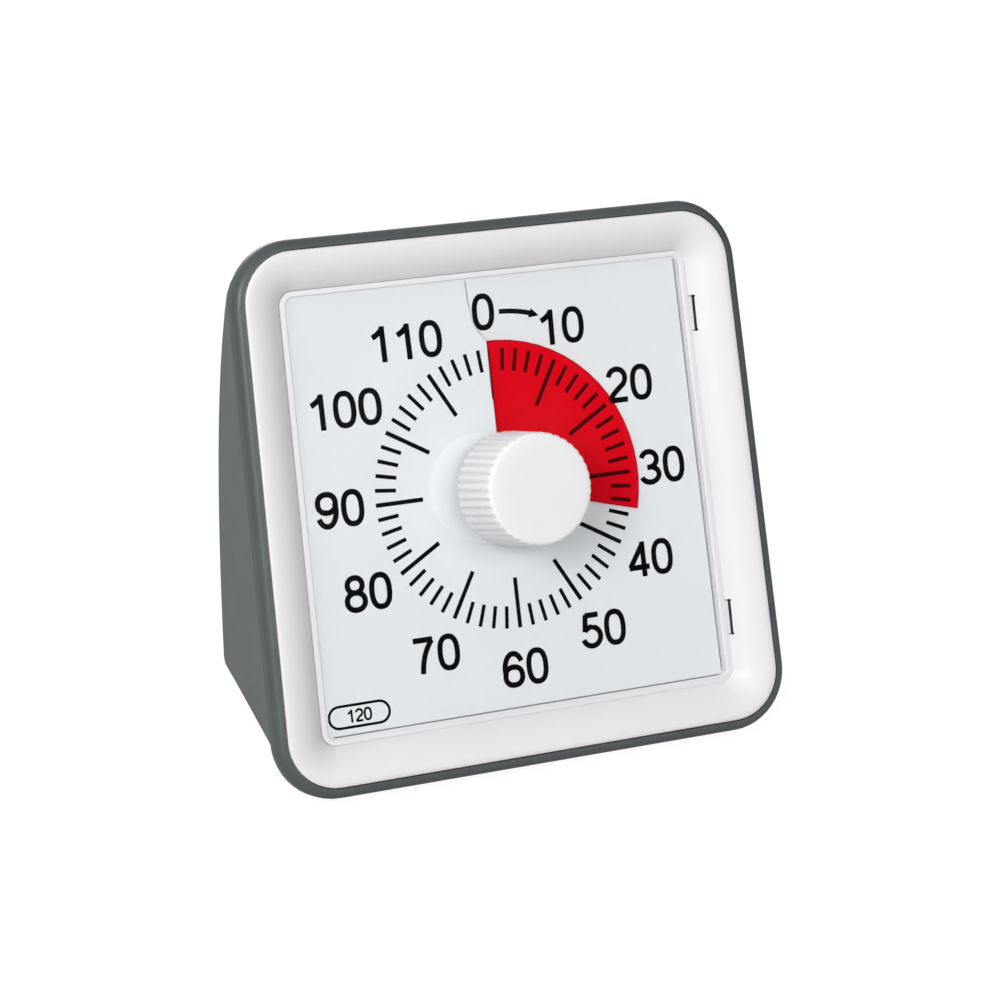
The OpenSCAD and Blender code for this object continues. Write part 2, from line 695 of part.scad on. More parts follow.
module third_wheel() color([0.9, 0.88, 0.8]) on_axis() translate(third_at) {
    difference() {
        rotate(drive_dir) gear(third_teeth, third_back, third_top);
        lightening(5, third_teeth, third_back, 2);
    }
    rotate(180 / pinion_teeth) gear(pinion_teeth, third_top - eps, wheel_front + 0.2);
    peg([0, 0], case_back + pivot_gap, plate_back - pivot_gap, arbor_r);
    peg([0, 0], shoulder, third_back + eps, 2 * arbor_r);
}

module drive_pinion() color([0.82, 0.68, 0.36]) on_axis() translate(drive_at) {
    rotate(drive_dir + 180 + 180 / pinion_teeth) gear(pinion_teeth, third_back - 0.2, third_top + 0.2);
    peg([0, 0], motor_top - arbor_sunk, third_top, arbor_r);
}

module gear_motor() color([0.7, 0.72, 0.74]) on_axis() difference() {
    union() {
        peg(motor_at, case_floor, motor_top, motor_r);
        peg(drive_at, motor_top - eps, motor_top + snout_l, snout_r);
    }
    peg(drive_at, motor_top - arbor_sunk - 0.4, far, arbor_r + run);
}

module clutch_spring() color([0.72, 0.73, 0.75]) on_axis() translate([0, 0, wheel_back - spring_h]) {
    r = shaft_d / 2 + 0.1;
    strip = 0.3;
    rotate_extrude() polygon([
        [r, 0], [r + strip + 0.1, 0], [spring_r, spring_h - strip + 0.05], [spring_r, spring_h],
        [spring_r - 0.5, spring_h], [r, strip]]);
}

module shaft_clip() color([0.55, 0.56, 0.58]) on_axis() difference() {
    peg([0, 0], wheel_back - spring_h - clip_t, wheel_back - spring_h, clip_r);
    peg([0, 0], wheel_back - far, wheel_back, shaft_d / 2 + press);
}

// ---- movement case ----
case_clear = 0.8;
case_x0 = third_at.x - tip_r(third_teeth) - case_clear - case_wall;
case_x1 = tip_r(output_teeth) + 1.5 + case_wall;
case_y0 = motor_at.y - motor_r - case_clear - case_wall;
case_y1 = tip_r(output_teeth) + case_clear + case_wall;
case_post_r = 2.5;
case_post_in = 3.2;
case_screw_at = [for (x = [case_x0 + case_post_in, case_x1 - case_post_in],
                      y = [case_y0 + case_post_in, case_y1 - case_post_in]) [x, y]];
module case_outline(grow, from, to) translate([(case_x0 + case_x1) / 2, (case_y0 + case_y1) / 2, from])
    slab(case_x1 - case_x0 + 2 * grow, case_y1 - case_y0 + 2 * grow, 3 + grow, to - from, 0);

module case_posts(from, to) for (p = case_screw_at) peg(p, from, to, case_post_r);

module case_holes() for (p = case_screw_at) peg(p, case_back - 1, plate_back + 1, 1.3);

module movement_front() color([0.25, 0.26, 0.28]) on_axis() difference() {
    union() {
        difference() {
            case_outline(0, case_split, plate_back);
            case_outline(-case_wall, case_split - 1, wheel_top);
        }
        case_posts(case_split, wheel_top + 1);
    }
    case_holes();
    peg([0, 0], wheel_top - 1, plate_back + 1, bush_r + press);
    peg(third_at, wheel_top - 1, plate_back - pivot_gap + 0.1, arbor_r + run);
}

module movement_rear() color([0.25, 0.26, 0.28]) on_axis() difference() {
    union() {
        difference() {
            case_outline(0, case_back, case_split);
            case_outline(-case_wall, case_floor, case_split + 1);
        }
        case_posts(case_floor - 1, case_split);
    }
    case_holes();
    peg([0, 0], pivot_hole, case_floor + 1, pivot_r + run);
    peg(third_at, pivot_hole, case_floor + 1, arbor_r + run);
}

// Pair of spring leaves on a block; the nib on the output wheel presses them together.
module zero_contact() color([0.78, 0.62, 0.32]) on_axis() rotate(nib_zero) {
    top = wheel_back - nib_h - leaf_gap;
    for (drop = [0, 1]) block([nib_at, 4], [2, 12], top - drop - leaf_t, top - drop);
    block([nib_at, 9], [4, 4], case_floor, top - leaf_t / 2);
}

// ---- circuit board and alarm switch ----
module circuit_board() color([0.1, 0.4, 0.22]) difference() {
    on_back(board_z) translate([0, 0, -board_drop - board_t]) {
        block([0, 0], [board_x, board_y], 0, board_t);
        for (p = board_parts) block(p[0], p[1], -p[2], 0.1);
    }
    on_board_posts() peg([0, 0], -board_t - 1, 1, 1.1);
}

module sounder() color([0.16, 0.16, 0.17])
    on_back(board_z) translate([sounder_x, 0, -board_drop]) difference() {
        peg([0, 0], 0, board_drop - wall - sounder_gap, sounder_r);
        peg([0, 0], 2, far, sounder_hole_r);
    }

module slide_switch() color([0.2, 0.2, 0.21])
    on_back(board_z) translate([switch_x, 0, -board_drop]) difference() {
        block([0, 0], [slider_travel + 7, switch_w], 0, switch_h);
        block([0, 0], [slider_travel + 2.6, 1.8], 1, far);
    }

// Alarm slider: a stem in the switch, a plate behind the wall, and a ribbed finger piece.
module alarm_slider() color([0.2, 0.2, 0.21])
    on_back(board_z) translate([switch_x - slider_travel / 2, 0, 0]) {
        plate_z = -wall - 0.4;
        finger = [4.2, slot_h - 0.6];
        block([0, 0], [2, 1.2], -board_drop + 1.4, plate_z - 0.5);
        block([0, 0], [finger.x + 2.6, finger.y + 2.4], plate_z - 0.9, plate_z);
        block([0, 0], finger, plate_z - 0.6, 0.3);
        for (x = [-1, 0, 1]) block([x * (finger.x - 0.7) / 2, 0], [0.7, finger.y], 0.2, 0.8);
    }

// ---- battery ----
module battery_cell() color([0.35, 0.36, 0.38])
    on_cell() translate([bay_l / 2 - contact_t, 0, 0]) rotate([0, -90, 0]) {
        r = cell_d / 2;
        nub_r = 2.6;
        nub_h = 1.3;
        edge = 0.6;
        rotate_extrude() polygon([
            [0, 0], [nub_r, 0], [nub_r, nub_h], [r - edge, nub_h], [r, nub_h + edge],
            [r, cell_l - edge], [r - edge, cell_l], [0, cell_l]]);
    }

module battery_plate() color([0.8, 0.8, 0.8]) on_cell() translate([bay_l / 2 - contact_t / 2, 0, 0])
    block([0, 0], [contact_t, contact_w], -contact_h / 2, contact_h / 2);

// Conical coil: a round wire swept along a spiral whose radius shrinks.
function coil_rings(r0, r1, wire, turns, length, steps, sides) =
    [for (i = [0:turns * steps])
        let (f = i / (turns * steps), a = 360 * i / steps, r = r0 + (r1 - r0) * f)
        [for (k = [0:sides - 1])
            let (b = -360 * k / sides, q = r + wire / 2 * cos(b))
            [q * cos(a), q * sin(a), wire / 2 + (length - wire) * f + wire / 2 * sin(b)]]];

module battery_spring() color([0.8, 0.8, 0.8]) on_cell() translate([-bay_l / 2, 0, 0]) rotate([0, 90, 0])
    skin(coil_rings(contact_w / 2, 3, 0.7, 4, bay_l - contact_t - cell_l, 16, 6));

module battery_door() color([0.42, 0.45, 0.46]) {
    difference() {
        intersection() {
            body();
            door_block(0, -door_t, far);
        }
        // finger grooves
        on_back(door_z) for (i = [0:2]) block([0, door_h / 2 - 4.7 + i * 1.4], [16, 0.6], -0.4, 2);
    }
    // tongue and ribs
    on_back(door_z) {
        block([0, door_h / 2 + notch_h / 2 - 0.5], [notch_w - 2, notch_h], -door_t, tongue_t - door_t);
        for (s = [-1, 1]) block([s * notch_w, 0], [1.2, 8], -door_t - 1.4, 0.1 - door_t);
    }
    // hooks that reach under the edge of the opening
    on_hooks() {
        w = hook_w - 0.8;
        block([0, -0.1], [w, 3.2], -door_t - 1.2, -door_t);
        block([0, 0.9], [w, 1.2], -door_t - 1.2, 0.8 - door_t);
    }
}

// ---- fasteners and feet ----
module screw(head_r, head_h, r, l) {
    difference() {
        peg([0, 0], -head_h, 0, head_r);
        for (a = [0, 90]) rotate(a) block([0, 0], [head_r * 1.2, 0.5], -far, 0.6 - head_h);
    }
    peg([0, 0], -eps, l, r);
}

module case_screws() color([0.6, 0.61, 0.63]) on_case_screws() translate([0, 0, -2]) screw(2.6, 1.8, 1.3, 6);

module bezel_screws() color([0.6, 0.61, 0.63]) on_face()
    for (p = bezel_bosses) translate([p.x, p.y, plate_back]) screw(1.6, 1.1, 0.8, plate_t + 3);

module movement_screws() color([0.6, 0.61, 0.63]) on_axis()
    for (p = case_screw_at) translate([p.x, p.y, case_back]) screw(2.2, 1.4, 1.1, case_depth + plate_t - 0.2);

module board_screws() color([0.6, 0.61, 0.63])
    on_board_posts() translate([0, 0, -board_t]) screw(1.8, 1.2, 0.85, board_t + 3.6);

module rubber_feet() color([0.12, 0.12, 0.12])
    for (f = feet) translate([0, face_y, 0]) peg(f, 0, base_z + foot_sink, foot_d / 2);

rear_housing();
front_bezel();
clear_window();
dial_card();
dial_plate();
time_film();
film_hub();
setting_knob();
output_shaft();
shaft_bush();
clutch_spring();
shaft_clip();
output_wheel();
third_wheel();
drive_pinion();
gear_motor();
movement_front();
movement_rear();
zero_contact();
circuit_board();
sounder();
slide_switch();
alarm_slider();
battery_cell();
battery_spring();
battery_plate();
battery_door();
case_screws();
bezel_screws();
movement_screws();
board_screws();
rubber_feet();
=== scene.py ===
"""A visual countdown timer: finishes, dial print, knob, lights and camera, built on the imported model."""
import json
from math import cos, pi, radians, sin

import bmesh
import bpy
from mathutils import Matrix, Vector
from mathutils.bvhtree import BVHTree


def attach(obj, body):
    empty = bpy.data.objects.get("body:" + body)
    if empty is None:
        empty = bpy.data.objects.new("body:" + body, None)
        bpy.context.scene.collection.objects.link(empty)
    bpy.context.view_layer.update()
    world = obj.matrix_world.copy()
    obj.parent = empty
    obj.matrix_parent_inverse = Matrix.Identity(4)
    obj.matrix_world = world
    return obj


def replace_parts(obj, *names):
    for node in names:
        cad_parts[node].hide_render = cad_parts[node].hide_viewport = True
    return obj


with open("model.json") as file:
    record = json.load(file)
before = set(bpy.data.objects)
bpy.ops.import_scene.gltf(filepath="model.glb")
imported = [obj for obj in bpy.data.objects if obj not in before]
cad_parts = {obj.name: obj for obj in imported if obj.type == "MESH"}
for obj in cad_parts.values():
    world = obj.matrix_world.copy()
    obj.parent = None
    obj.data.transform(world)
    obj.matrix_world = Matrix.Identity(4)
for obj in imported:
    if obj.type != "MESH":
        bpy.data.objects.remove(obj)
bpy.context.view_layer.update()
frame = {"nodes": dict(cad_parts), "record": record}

MM = 0.001
JOINTS = {joint["name"]: joint for joint in frame["record"]["behaviour"]["joints"]}


# ---- places on the face ----

def face_matrix():
    """From millimetres on the face (x right, y up, z out, from the knob's axis) to the row's frame."""
    spin = JOINTS["knob_spin"]
    out = -Vector(spin["axis"]).normalized()
    right = Vector((1, 0, 0))
    turn = Matrix((right, out.cross(right), out)).transposed().to_4x4()
    return Matrix.Translation(spin["pos_m"]) @ turn @ Matrix.Scale(MM, 4)


FACE = face_matrix()
TO_FACE = FACE.inverted()
DIAL_MINUTES = 120


def span(node):
    """Lowest and highest corner of a CAD node on the face, in millimetres."""
    points = [TO_FACE @ vertex.co for vertex in frame["nodes"][node].data.vertices]
    return [Vector(pick(point[i] for point in points) for i in range(3)) for pick in (min, max)]


def on_circle(radius, minutes, height=0.0):
    """Point at that reading of the dial, which runs clockwise from the top."""
    angle = radians(minutes * 360 / DIAL_MINUTES)
    return Vector((radius * sin(angle), radius * cos(angle), height))


def facing(facet):
    """Unit normal of one of a mesh's facets, seen on the face."""
    return (TO_FACE.to_3x3() @ facet.normal).normalized()


def middle_of(facet):
    """Middle of one of a bmesh's facets on the face, in millimetres."""
    return TO_FACE @ facet.calc_center_median()


# ---- making pieces ----
# Lengths in millimetres, angles in degrees.
MERGE_DISTANCE = 0.0005
FLAT_ANGLE = 0.15                # facets that turn by less make one flat face
SHARP_ANGLE = 30                 # edges that turn by more aren't shaded smooth
ROUNDED_ANGLE = 38               # and of the softened pieces these are rounded
ROUNDING_STEPS = 2


def finish_mesh(bm, sharp):
    """Shades a mesh smooth, apart from edges that turn by more than sharp degrees."""
    for face in bm.faces:
        face.smooth = True
    for edge in bm.edges:
        edge.smooth = len(edge.link_faces) == 2 and edge.calc_face_angle(0) < radians(sharp)


def add_piece(name, bm, material, body, sharp=SHARP_ANGLE):
    """Turns a bmesh in the row's frame into a piece that rides on a body."""
    finish_mesh(bm, sharp)
    mesh = bpy.data.meshes.new(name)
    bm.to_mesh(mesh)
    bm.free()
    piece = bpy.data.objects.new(name, mesh)
    bpy.context.scene.collection.objects.link(piece)
    mesh.materials.append(material)
    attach(piece, body)
    return piece


def soften(piece, width):
    """Rounds a piece's sharp edges if width isn't 0, and keeps its flat faces flat in the shading."""
    if width:
        bevel = piece.modifiers.new("edge_rounding", "BEVEL")
        bevel.width = width * MM
        bevel.segments = ROUNDING_STEPS
        bevel.limit_method = "ANGLE"
        bevel.angle_limit = radians(ROUNDED_ANGLE)
        bevel.miter_outer = "MITER_ARC"
    weighted = piece.modifiers.new("flat_faces", "WEIGHTED_NORMAL")
    weighted.keep_sharp = True


def merged_copy(node):
    """A bmesh of a CAD node, with its triangles joined up and its flat faces whole."""
    bm = bmesh.new()
    bm.from_mesh(frame["nodes"][node].data)
    bmesh.ops.remove_doubles(bm, verts=bm.verts[:], dist=MERGE_DISTANCE * MM)
    bmesh.ops.dissolve_limit(bm, angle_limit=radians(FLAT_ANGLE), verts=bm.verts[:], edges=bm.edges[:])
    return bm


def dress(node, name, material, body, rounding=0.0):
    """A smooth piece in the shape of a CAD node, which it stands for."""
    piece = add_piece(name, merged_copy(node), material, body)
    soften(piece, rounding)
    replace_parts(piece, node)
    return piece


# ---- shader building blocks ----
NOISE_RANGE = (0.3, 0.7)         # where most of a noise's values lie
NOISE_MIDDLE = 0.5


def add_node(tree, kind, values=None, **settings):
    """Adds a node, sets its properties, and fills or links its inputs."""
    node = tree.nodes.new(kind)
    for key, value in settings.items():
        setattr(node, key, value)
    for key, value in (values or {}).items():
        if isinstance(value, bpy.types.NodeSocket):
            tree.links.new(value, node.inputs[key])
        else:
            node.inputs[key].default_value = value
    return node


def noise(tree, vector, scale, detail=2.0, roughness=0.5):
    return add_node(tree, "ShaderNodeTexNoise",
                    {"Vector": vector, "Scale": scale, "Detail": detail, "Roughness": roughness})


def spread(tree, value, low, high):
    """Maps most of a noise's range to low and high."""
    node = add_node(tree, "ShaderNodeMapRange",
                    {"Value": value, "From Min": NOISE_RANGE[0], "From Max": NOISE_RANGE[1],
                     "To Min": low, "To Max": high})
    return node.outputs["Result"]


def two_tone(tree, value, low, high):
    """A colour that goes from low to high with a noise."""
    share = spread(tree, value, low=0.0, high=1.0)
    blend = add_node(tree, "ShaderNodeMix", {"Factor": share}, data_type="RGBA")
    first, second = [socket for socket in blend.inputs if socket.type == "RGBA"]
    first.default_value = (*low, 1)
    second.default_value = (*high, 1)
    return next(socket for socket in blend.outputs if socket.type == "RGBA")


def moulded_surface():
    """Fine grain of a moulded or finished surface: its height, a slow mottling and its roughness."""
    tree = bpy.data.node_groups.new("moulded_surface", "ShaderNodeTree")
    tree.interface.new_socket("Vector", in_out="INPUT", socket_type="NodeSocketVector")
    for socket in ("Grain Scale", "Mottle Scale", "Roughness", "Roughness Spread"):
        tree.interface.new_socket(socket, in_out="INPUT", socket_type="NodeSocketFloat")
    for socket in ("Height", "Mottle", "Roughness"):
        tree.interface.new_socket(socket, in_out="OUTPUT", socket_type="NodeSocketFloat")
    start = tree.nodes.new("NodeGroupInput")
    end = tree.nodes.new("NodeGroupOutput")
    place = start.outputs["Vector"]
    grain = noise(tree, place, start.outputs["Grain Scale"], detail=3.0, roughness=0.6)
    mottle = noise(tree, place, start.outputs["Mottle Scale"], detail=3.0)
    centred = add_node(tree, "ShaderNodeMath", {0: mottle.outputs["Fac"], 1: NOISE_MIDDLE},
                       operation="SUBTRACT")
    rough = add_node(tree, "ShaderNodeMath", {0: centred.outputs[0], 1: start.outputs["Roughness Spread"],
                                              2: start.outputs["Roughness"]}, operation="MULTIPLY_ADD")
    tree.links.new(grain.outputs["Fac"], end.inputs["Height"])
    tree.links.new(mottle.outputs["Fac"], end.inputs["Mottle"])
    tree.links.new(rough.outputs[0], end.inputs["Roughness"])
    return tree


MOULDED = moulded_surface()


def principled(name, settings):
    """A new material with its Principled shader, and the Object coordinates."""
    material = bpy.data.materials.new(name)
    material.use_nodes = True
    tree = material.node_tree
    shader = tree.nodes["Principled BSDF"]
    for key, value in settings.items():
        shader.inputs[key].default_value = value
    place = tree.nodes.new("ShaderNodeTexCoord").outputs["Object"]
    return material, tree, shader, place


def surface(name, colour, roughness, shift=0.04, grain=3500.0, depth=0.02, mottle=120.0,
            rough_spread=0.08, **settings):
    """A moulded or finished material: grain, slow mottling of the colour, and uneven gloss."""
    material, tree, shader, place = principled(name, settings)
    skin = add_node(tree, "ShaderNodeGroup", node_tree=MOULDED)
    tree.links.new(place, skin.inputs["Vector"])
    for key, value in (("Grain Scale", grain), ("Mottle Scale", mottle), ("Roughness", roughness),
                       ("Roughness Spread", rough_spread)):
        skin.inputs[key].default_value = value
    tones = [[min(1, c * part) for c in colour] for part in (1 - shift, 1 + shift)]
    bump = add_node(tree, "ShaderNodeBump", {"Height": skin.outputs["Height"], "Strength": 1.0,
                                             "Distance": depth * MM})
    tree.links.new(two_tone(tree, skin.outputs["Mottle"], *tones), shader.inputs["Base Color"])
    tree.links.new(skin.outputs["Roughness"], shader.inputs["Roughness"])
    tree.links.new(bump.outputs["Normal"], shader.inputs["Normal"])
    return material


def see_through(material, tree, shader, tint):
    """Lets light straight through a clear shader, tinted, so that what is behind it is lit once."""
    path = add_node(tree, "ShaderNodeLightPath")
    lighting = add_node(tree, "ShaderNodeMath", {0: path.outputs["Is Shadow Ray"],
                                                 1: path.outputs["Is Diffuse Ray"]},
                        operation="ADD", use_clamp=True)
    clear = add_node(tree, "ShaderNodeBsdfTransparent", {"Color": (*tint, 1)})
    mix = add_node(tree, "ShaderNodeMixShader", {0: lighting.outputs[0],
                                                 1: shader.outputs["BSDF"], 2: clear.outputs["BSDF"]})
    tree.links.new(mix.outputs["Shader"], tree.nodes["Material Output"].inputs["Surface"])
    return material


LIGHT_THROUGH_WINDOW = (0.985, 0.985, 0.985)
LIGHT_THROUGH_BORDER = (0.95, 0.95, 0.95)
LIGHT_THROUGH_FILM = (0.98, 0.13, 0.28)
FILM_REDS = ((0.94, 0.01, 0.07), (0.97, 0.012, 0.08))


def clear_plastic():
    """The window: polished, with a trace of unevenness."""
    material, tree, shader, place = principled("clear_plastic", {
        "Base Color": (0.985, 0.99, 0.992, 1), "Transmission Weight": 1.0, "IOR": 1.49})
    waves = noise(tree, place, scale=60.0, detail=1.0)
    bump = add_node(tree, "ShaderNodeBump", {"Height": waves.outputs["Fac"], "Strength": 1.0,
                                             "Distance": 0.01 * MM})
    gloss = spread(tree, waves.outputs["Fac"], low=0.01, high=0.03)
    tree.links.new(gloss, shader.inputs["Roughness"])
    tree.links.new(bump.outputs["Normal"], shader.inputs["Normal"])
    return see_through(material, tree, shader, LIGHT_THROUGH_WINDOW)


def frosted_border():
    """The window's frame and walls: frosted to look at, while light still comes through to the card."""
    material = surface("window_border", (0.76, 0.76, 0.785), 0.3, shift=0.01, grain=2600, depth=0.004)
    tree = material.node_tree
    return see_through(material, tree, tree.nodes["Principled BSDF"], LIGHT_THROUGH_BORDER)


def red_film(name, tone):
    """The time film: a red see-through sheet, which shows the ticks behind it. A tone below 1 darkens it,
    as painted shadow.
    """
    material, tree, shader, place = principled(name, {"Transmission Weight": 0.96, "IOR": 1.2})
    cloud = noise(tree, place, scale=90.0)
    tones = [[c * tone for c in colour] for colour in FILM_REDS]
    gloss = spread(tree, cloud.outputs["Fac"], low=0.02, high=0.06)
    tree.links.new(two_tone(tree, cloud.outputs["Fac"], *tones), shader.inputs["Base Color"])
    tree.links.new(gloss, shader.inputs["Roughness"])
    return see_through(material, tree, shader, LIGHT_THROUGH_FILM)


# ---- the finishes ----
CASE_GREY = surface("case_grey", (0.079, 0.092, 0.094), 0.38, shift=0.05, grain=3200, depth=0.025)
DOOR_GREY = surface("door_grey", (0.08, 0.092, 0.094), 0.4, shift=0.05, grain=3200, depth=0.025)
BEZEL_WHITE = surface("bezel_white", (0.79, 0.782, 0.797), 0.44, shift=0.012, grain=2600, depth=0.006)
KNOB_WHITE = surface("knob_white", (0.83, 0.827, 0.84), 0.42, shift=0.01, grain=2600, depth=0.006,
                     **{"Subsurface Weight": 1.0, "Subsurface Radius": (1, 1, 1),
                        "Subsurface Scale": 2 * MM})
CARD_WHITE = surface("card_white", (0.83, 0.853, 0.872), 0.55, shift=0.008, grain=1800, depth=0.004)
INK = surface("dial_ink", (0.003, 0.003, 0.004), 0.5, shift=0.2, grain=5000, depth=0.002,
              **{"Specular IOR Level": 0.0})
CHASSIS_WHITE = surface("chassis_white", (0.66, 0.66, 0.64), 0.5, shift=0.02)
WINDOW = clear_plastic()
FILM = red_film("red_film", 1.0)
# Painted shadow: a darker red for the band along the film's edge, for the shadow that the edge casts on
# the card.
FILM_EDGE_SHADOW = red_film("red_film_edge_shadow", 0.2)
WINDOW_BORDER = frosted_border()
# Painted shade: near black, for the walls of the bezel's slits, which are white plastic lying in shade.
PAINTED_SLIT_SHADE = surface("painted_slit_shade", (0.03, 0.03, 0.032), 0.7, shift=0.1)
SLIDER_BLACK = surface("slider_black", (0.022, 0.022, 0.023), 0.45, shift=0.15, depth=0.02)
MOVEMENT_BLACK = surface("movement_black", (0.035, 0.036, 0.038), 0.5, shift=0.1)
GEAR_WHITE = surface("gear_white", (0.72, 0.69, 0.60), 0.35, shift=0.02)
BOARD_GREEN = surface("board_green", (0.015, 0.11, 0.05), 0.4, shift=0.2, mottle=900)
FOOT_RUBBER = surface("foot_rubber", (0.022, 0.022, 0.022), 0.85, shift=0.2, grain=2200, depth=0.05)
STEEL = surface("steel", (0.55, 0.55, 0.56), 0.28, shift=0.05, Metallic=1.0)
SPRING_STEEL = surface("spring_steel", (0.46, 0.46, 0.48), 0.32, shift=0.06, Metallic=1.0)
PLATED = surface("plated_contact", (0.66, 0.65, 0.62), 0.25, shift=0.05, Metallic=1.0)
SCREW_STEEL = surface("screw_steel", (0.50, 0.50, 0.49), 0.35, shift=0.08, Metallic=1.0)
MOTOR_STEEL = surface("motor_steel", (0.52, 0.53, 0.55), 0.38, shift=0.06, Metallic=1.0)
BRASS = surface("brass", (0.72, 0.50, 0.20), 0.3, shift=0.06, Metallic=1.0)
BRONZE = surface("contact_bronze", (0.60, 0.40, 0.20), 0.3, shift=0.06, Metallic=1.0)
CELL_JACKET = surface("cell_jacket", (0.30, 0.31, 0.33), 0.3, shift=0.05, Metallic=0.9)

NODE_FINISHES = {
    "dial_plate": CHASSIS_WHITE, "film_hub": KNOB_WHITE, "output_shaft": STEEL, "shaft_bush": BRASS,
    "clutch_spring": SPRING_STEEL, "shaft_clip": SPRING_STEEL, "output_wheel": GEAR_WHITE,
    "third_wheel": GEAR_WHITE, "drive_pinion": BRASS, "gear_motor": MOTOR_STEEL,
    "movement_front": MOVEMENT_BLACK, "movement_rear": MOVEMENT_BLACK, "zero_contact": BRONZE,
    "circuit_board": BOARD_GREEN, "sounder": MOVEMENT_BLACK, "slide_switch": MOVEMENT_BLACK,
    "battery_cell": CELL_JACKET, "battery_spring": PLATED, "battery_plate": PLATED,
    "case_screws": SCREW_STEEL, "bezel_screws": SCREW_STEEL, "movement_screws": SCREW_STEEL,
    "board_screws": SCREW_STEEL, "rubber_feet": FOOT_RUBBER,
}
for node_name, finish in NODE_FINISHES.items():
    slots = frame["nodes"][node_name].data.materials
    for index in range(len(slots)):
        slots[index] = finish


# ---- mouldings that keep the CAD's shape ----
# Lengths in millimetres on the face.
FLAT_ON = 0.9                    # a facet whose normal goes out by more lies flat on the face
UPRIGHT = 0.5                    # one whose normal goes out by less stands upright
SIDEWAYS = 0.8                   # and one whose normal goes sideways by more looks that way
LEVEL_SLACK = 0.02
HOLE_REACH = 8                   # radius that the window's hole lies within
WINDOW_ROUNDING = 0.2
FROST_MARGIN = 0.3               # frosted edge of the window's front, inside its frame
# The slits past the window's two tabs, whose walls get painted shade:
TAB_HEIGHT = 28                  # of the middle of each of the window's tabs, up or down from the axis
TAB_REACH = 5                    # how far a slit reaches at most from there
SLIT_WIDTH = 0.6                 # of the slit between a tab and the bezel
SLIT_SLACK = 0.05
PAST_FILM = 1                    # how far above the film the card's edge starts to be tucked in
SEAM_REACH = 6                   # how far from the axis the card's seam lies at most, to both sides
SEAM_LAP = 0.14                  # how far the card's lower edge reaches in under its upper one
FILM_COLLAR = 7                  # radius past which the film is bare
FILM_SHADOW_BAND = 0.2               # width of the painted shadow along the film's edge


def pane_levels():
    """Heights of the back and the front of the pane, at the rim of its hole round the knob's boss."""
    points = [TO_FACE @ vertex.co for vertex in frame["nodes"]["clear_window"].data.vertices]
    heights = [point.z for point in points if point.xy.length < HOLE_REACH]
    return min(heights), max(heights)


def window_pane():
    """The window, clear in its two flat faces and its hole, and frosted in its frame and walls."""
    back, front = pane_levels()
    bm = merged_copy("clear_window")

    def flat_at(face, level):
        return abs(middle_of(face).z - level) < LEVEL_SLACK and abs(facing(face).z) > FLAT_ON

    made = bmesh.ops.inset_region(bm, faces=[face for face in bm.faces if flat_at(face, front)],
                                  thickness=FROST_MARGIN * MM, use_even_offset=True, use_boundary=True)
    margin = set(made["faces"])
    for face in bm.faces:
        centre = middle_of(face)
        in_hole = centre.xy.length < HOLE_REACH and back < centre.z < front
        polished = (flat_at(face, front) or flat_at(face, back)) and face not in margin
        face.material_index = 0 if polished or in_hole else 1
    pane = add_piece("window_pane", bm, WINDOW, "case")
    pane.data.materials.append(WINDOW_BORDER)
    soften(pane, WINDOW_ROUNDING)
    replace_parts(pane, "clear_window")


def darken_slits(bezel):
    """Gives the white walls of the bezel's slits past the window's two tabs a near-black colour: painted
    shade, for the dark inside of the housing that the slits open into.
    """
    points = [TO_FACE @ vertex.co for vertex in frame["nodes"]["clear_window"].data.vertices]
    bezel.data.materials.append(PAINTED_SLIT_SHADE)
    for side in (-1, 1):
        edge = max(point.x for point in points if abs(point.y * side - TAB_HEIGHT) < TAB_REACH)
        for face in bezel.data.polygons:
            centre = TO_FACE @ face.center
            beside = -SLIT_SLACK < centre.x - edge < SLIT_WIDTH
            level = abs(centre.y * side - TAB_HEIGHT) < TAB_REACH
            if beside and level and abs(facing(face).z) < UPRIGHT:
                # painted shade on this wall of the slit
                face.material_index = 1


def printed_card():
    """The dial card. Past the film, the seam's lower edge reaches in under its upper edge."""
    bm = merged_copy("dial_card")
    past_film = span("time_film")[1].x + PAST_FILM
    lower_edge = [face for face in bm.faces if facing(face).x < -SIDEWAYS
                  and middle_of(face).y > past_film and abs(middle_of(face).x) < SEAM_REACH]
    tucked = list({vertex for face in lower_edge for vertex in face.verts})
    bmesh.ops.translate(bm, verts=tucked, vec=Vector((-SEAM_LAP * MM, 0, 0)))
    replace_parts(add_piece("printed_card", bm, CARD_WHITE, "case"), "dial_card")


def cut_film():
    """The time film, with a painted shadow along its edge: a darker band of its front, for the shadow that
    the edge casts on the card.
    """
    bm = merged_copy("time_film")
    front = [face for face in bm.faces if facing(face).z > FLAT_ON
             and middle_of(face).xy.length > FILM_COLLAR]
    made = bmesh.ops.inset_region(bm, faces=front, thickness=FILM_SHADOW_BAND * MM, use_even_offset=True,
                                  use_boundary=True)
    # the band along the edge gets the painted shadow
    for face in made["faces"]:
        face.material_index = 1
    piece = add_piece("red_time_film", bm, FILM, "film")
    piece.data.materials.append(FILM_EDGE_SHADOW)
    soften(piece, 0.0)
    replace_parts(piece, "time_film")


dress("rear_housing", "housing_shell", CASE_GREY, "case", rounding=0.15)
darken_slits(dress("front_bezel", "white_bezel", BEZEL_WHITE, "case", rounding=0.12))
window_pane()
printed_card()
cut_film()
dress("battery_door", "door_panel", DOOR_GREY, "door", rounding=0.15)
dress("alarm_slider", "slider_button", SLIDER_BLACK, "slider", rounding=0.12)


# ---- the setting knob ----
KNOB_RIBS = 40
RIB_DEPTH = 0.28
RIB_GROOVE = (0.18, 0.52)        # where the groove is deep and where it ends, as parts of the half pitch
RIB_STEPS = 12                   # steps round each rib
KNOB_TAPER = 0.28                # how much smaller the knob's radius is at its tip
KNOB_BOSS = 4.4                  # radius
KNOB_WALL = 2.4
CAP_THICKNESS = 2.2
CEILING_CHAMFER = 0.3            # inside, between the wall and the cap
MOUTH_CHAMFER = 0.15             # inside, at the open end
FOOT_CHAMFER = (0.25, 0.2)       # outside, at the open end: how far in, and how far up
